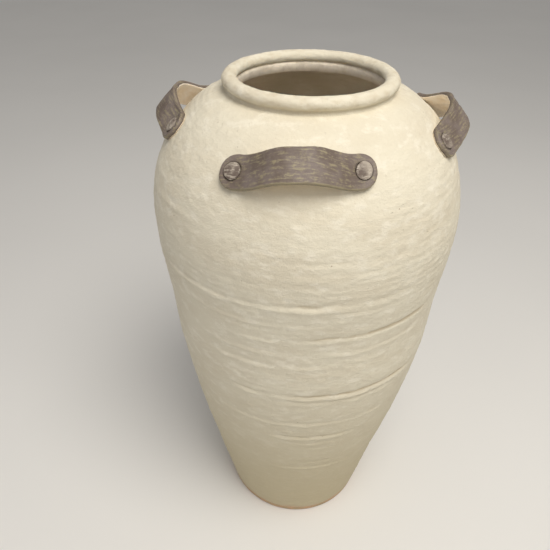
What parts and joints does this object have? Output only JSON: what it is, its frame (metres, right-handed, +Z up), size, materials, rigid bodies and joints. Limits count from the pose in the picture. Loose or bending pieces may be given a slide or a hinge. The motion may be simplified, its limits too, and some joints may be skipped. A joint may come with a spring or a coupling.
{
  "type": "amphora",
  "caption": "Tall open earthenware amphora, widest near the shoulder, narrowing to a flat foot, with a short neck, a rolled rim and riveted strap handles round the shoulder.",
  "frame": {"origin": "centre of the foot's flat underside, on the jar's turning axis", "axes": "+Z up the turning axis to the mouth; -Y towards the front handle; +X to the right of somebody who faces the front handle"},
  "size_m": [0.441, 0.441, 0.8],
  "materials": {
    "slip": "matt cream slip brushed over earthenware",
    "bare_clay": "bare fired earthenware",
    "strap_paint": "umber brown clay, dry-brushed with bronze",
    "rivet_paint": "umber brown clay, rubbed on its edges"
  },
  "bodies": {
    "root": {"base_slab": "bare_clay", "foot_section": "slip", "lower_wall_section": "slip", "belly_section": "slip", "upper_wall_section": "slip", "shoulder_section": "slip", "neck_collar": "slip", "rim_coil": "slip", "handle_strap_front": "strap_paint", "rivet_front_left": "rivet_paint", "rivet_front_right": "rivet_paint", "handle_strap_right": "strap_paint", "rivet_right_left": "rivet_paint", "rivet_right_right": "rivet_paint", "handle_strap_back": "strap_paint", "rivet_back_left": "rivet_paint", "rivet_back_right": "rivet_paint", "handle_strap_left": "strap_paint", "rivet_left_left": "rivet_paint", "rivet_left_right": "rivet_paint"}
  },
  "joints": []
}
